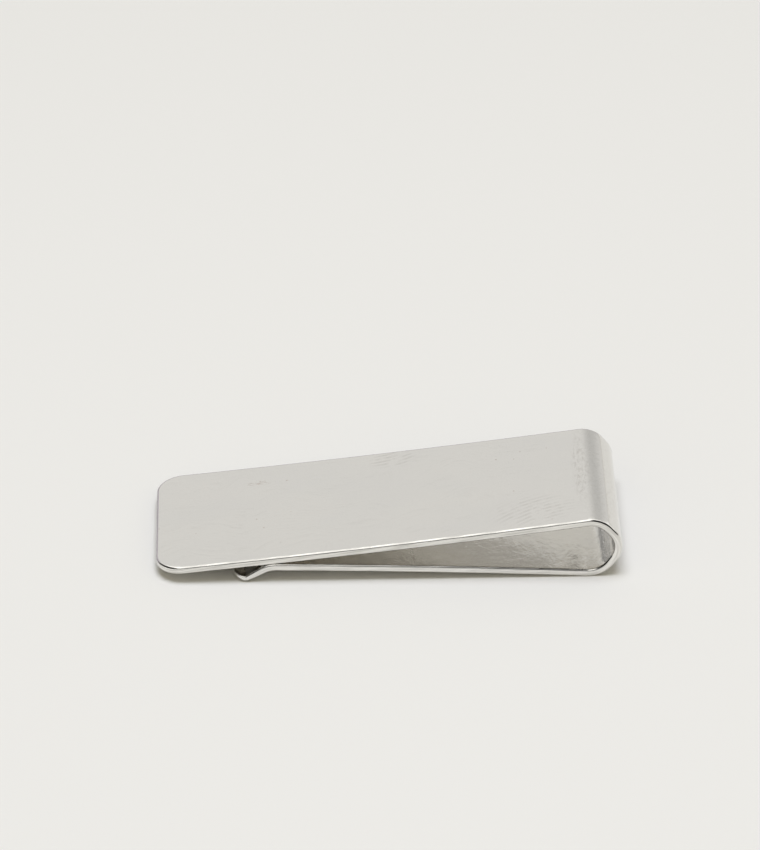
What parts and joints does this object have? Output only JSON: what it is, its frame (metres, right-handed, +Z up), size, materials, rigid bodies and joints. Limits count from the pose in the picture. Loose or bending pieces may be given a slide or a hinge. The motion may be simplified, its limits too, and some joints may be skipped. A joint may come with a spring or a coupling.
{
  "type": "money clip",
  "caption": "Hairpin money clip folded from one strip of polished spring steel, with a long front leaf, a shorter back leaf, a grip knee and a flared lead-in lip.",
  "frame": {"origin": "middle of the clip's length and width, on the surface that it lies on", "axes": "+X from the leaf tips to the folded loop, +Y across the strip, +Z up from the back leaf to the front leaf"},
  "size_m": [0.054, 0.02, 0.0078],
  "materials": {
    "steel": "polished"
  },
  "bodies": {
    "back_arm": {"heel_bend": "steel", "back_leaf": "steel", "grip_knee": "steel", "lead_in_lip": "steel"},
    "front_arm": {"shoulder_bend": "steel", "front_leaf": "steel"}
  },
  "joints": [
    {"name": "clamp_flex", "type": "hinge", "parent": "back_arm", "child": "front_arm", "pos_m": [0.02654, 0, 0.00409], "axis": [0, 1, 0], "range_deg": [0, 8], "stiffness_Nm_per_rad": 6.4, "springref_deg": -0.86}
  ]
}
